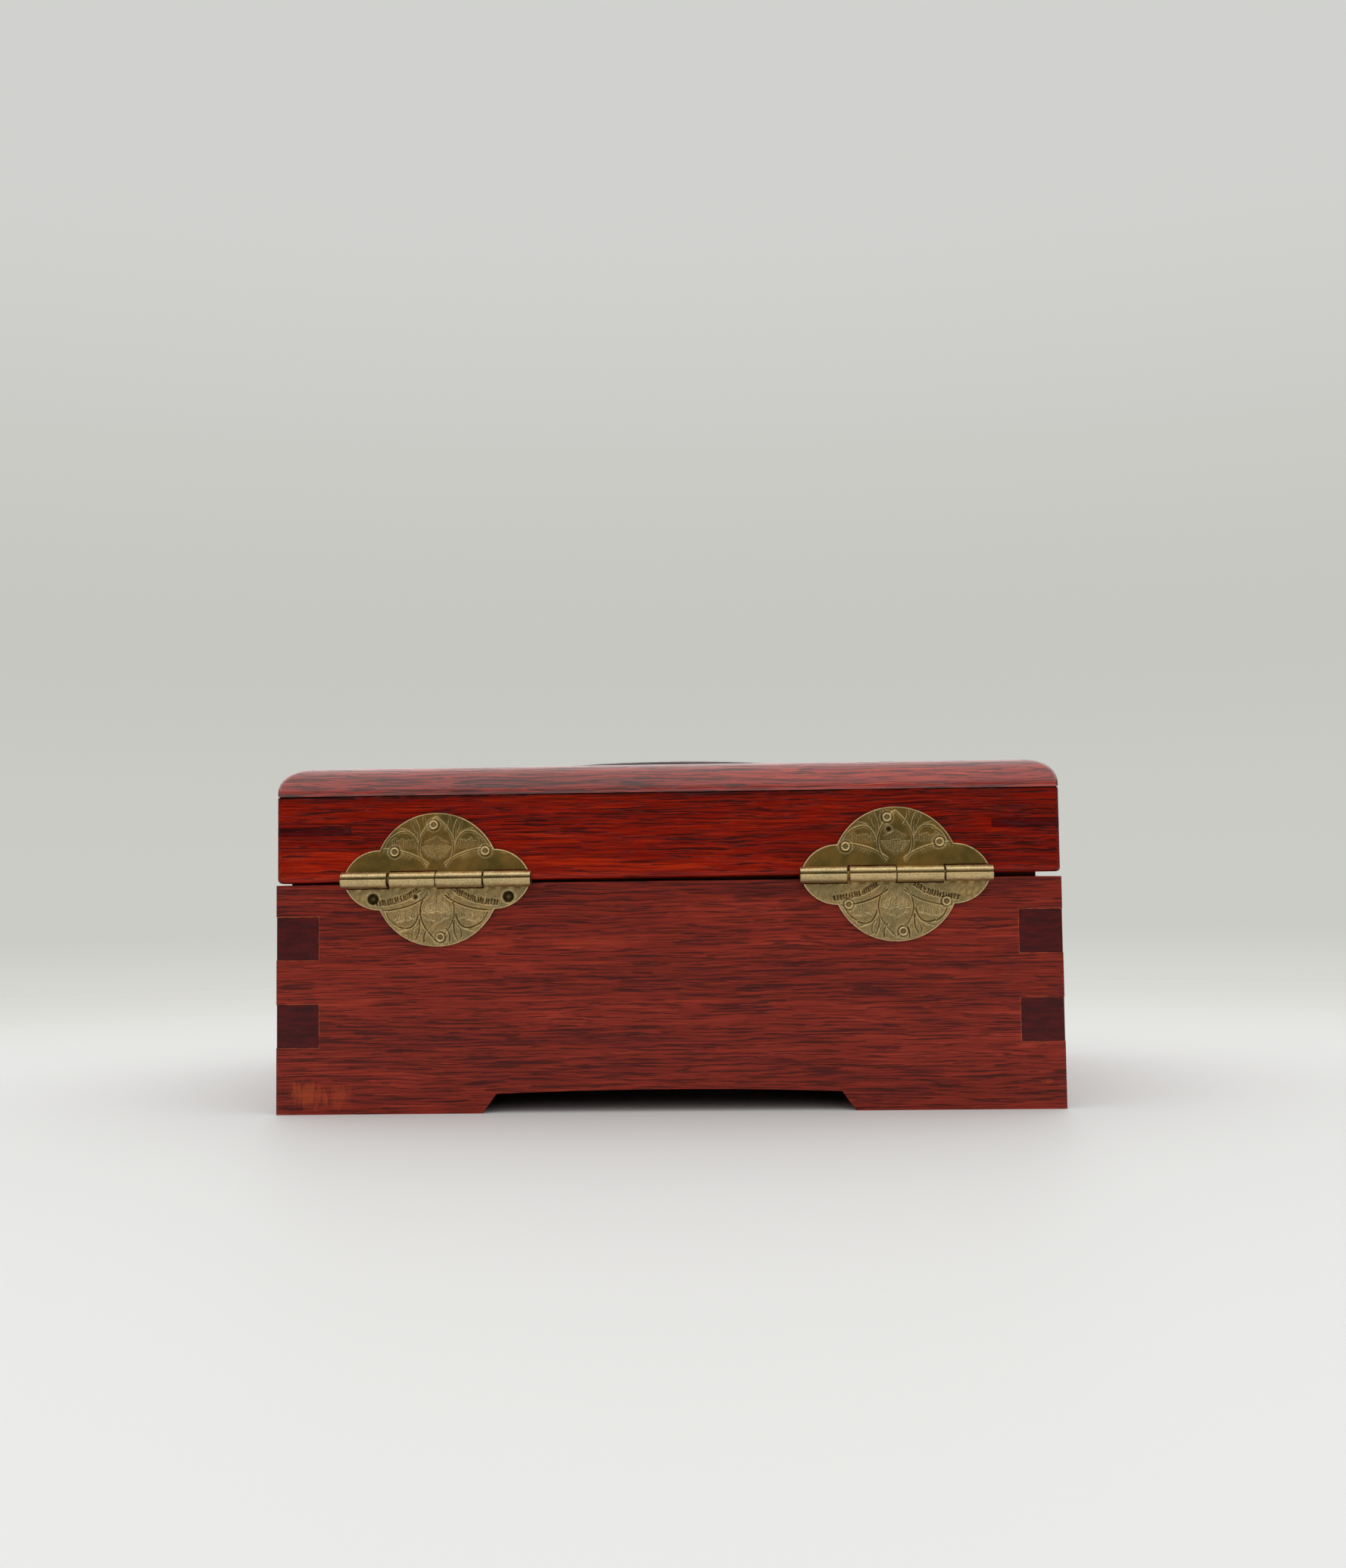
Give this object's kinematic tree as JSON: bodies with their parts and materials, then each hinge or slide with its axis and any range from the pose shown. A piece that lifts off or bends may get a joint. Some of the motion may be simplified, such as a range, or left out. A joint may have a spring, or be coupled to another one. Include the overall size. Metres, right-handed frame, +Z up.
{
  "type": "hinged jewellery box",
  "caption": "Rectangular rosewood box with a hinged lid, brass hinges behind, a brass hasp and staple in front, and a framed round stone set in the lid.",
  "frame": {"origin": "middle of the floor rectangle under the whole object, hinge barrels and staple included", "axes": "+X along the length, +Y towards the hinges at the back, +Z up; the hasp faces -Y"},
  "size_m": [0.203, 0.1402, 0.0921],
  "materials": {
    "case_wood": "satin",
    "end_grain_wood": "satin",
    "bottom_board": "matt",
    "lining_cloth": "matt",
    "lid_wood": "satin lacquer",
    "key_wood": "satin",
    "bezel_wood": "satin",
    "stone": "polished",
    "hinge_brass": "worn satin",
    "nail_brass": "worn satin",
    "lock_brass": "worn satin"
  },
  "bodies": {
    "case": {"case_front_panel": "case_wood", "case_back_panel": "case_wood", "case_left_panel": "end_grain_wood", "case_right_panel": "end_grain_wood", "case_bottom_panel": "bottom_board", "case_lining_front": "lining_cloth", "case_lining_back": "lining_cloth", "case_lining_left": "lining_cloth", "case_lining_right": "lining_cloth", "case_base_pad": "lining_cloth", "hinge_leaf_lower_right": "hinge_brass", "hinge_leaf_lower_left": "hinge_brass", "hinge_pin_right": "hinge_brass", "hinge_pin_left": "hinge_brass", "hinge_nail_lower_right_1": "nail_brass", "hinge_nail_lower_right_2": "nail_brass", "hinge_nail_lower_right_3": "nail_brass", "hinge_nail_lower_left_1": "nail_brass", "hinge_nail_lower_left_2": "nail_brass", "hinge_nail_lower_left_3": "nail_brass", "lock_nail_lower_1": "nail_brass", "lock_nail_lower_2": "nail_brass", "lock_plate_lower": "lock_brass", "lock_staple": "lock_brass"},
    "lid": {"lid_top_board": "lid_wood", "lid_back_rail": "lid_wood", "lid_front_rail": "lid_wood", "lid_left_rail": "lid_wood", "lid_right_rail": "lid_wood", "lid_corner_key_back_right": "key_wood", "lid_corner_key_front_right": "key_wood", "lid_corner_key_back_left": "key_wood", "lid_corner_key_front_left": "key_wood", "medallion_bezel": "bezel_wood", "medallion_stone": "stone", "lid_lining_panel": "lining_cloth", "hinge_leaf_upper_right": "hinge_brass", "hinge_leaf_upper_left": "hinge_brass", "lock_plate_upper": "lock_brass", "hasp_pin": "lock_brass", "hinge_nail_upper_right_1": "nail_brass", "hinge_nail_upper_right_2": "nail_brass", "hinge_nail_upper_right_3": "nail_brass", "hinge_nail_upper_left_1": "nail_brass", "hinge_nail_upper_left_2": "nail_brass", "hinge_nail_upper_left_3": "nail_brass", "lock_nail_upper_1": "nail_brass", "lock_nail_upper_2": "nail_brass", "lock_nail_upper_3": "nail_brass"},
    "hasp": {"hasp": "lock_brass"}
  },
  "joints": [
    {"name": "lid_hinge", "type": "hinge", "parent": "case", "child": "lid", "pos_m": [0, 0.068, 0.06025], "axis": [-1, 0, 0], "range_deg": [0, 180]},
    {"name": "hasp_hinge", "type": "hinge", "parent": "lid", "child": "hasp", "pos_m": [0, -0.06405, 0.07185], "axis": [-1, 0, 0], "range_deg": [0, 170]}
  ]
}
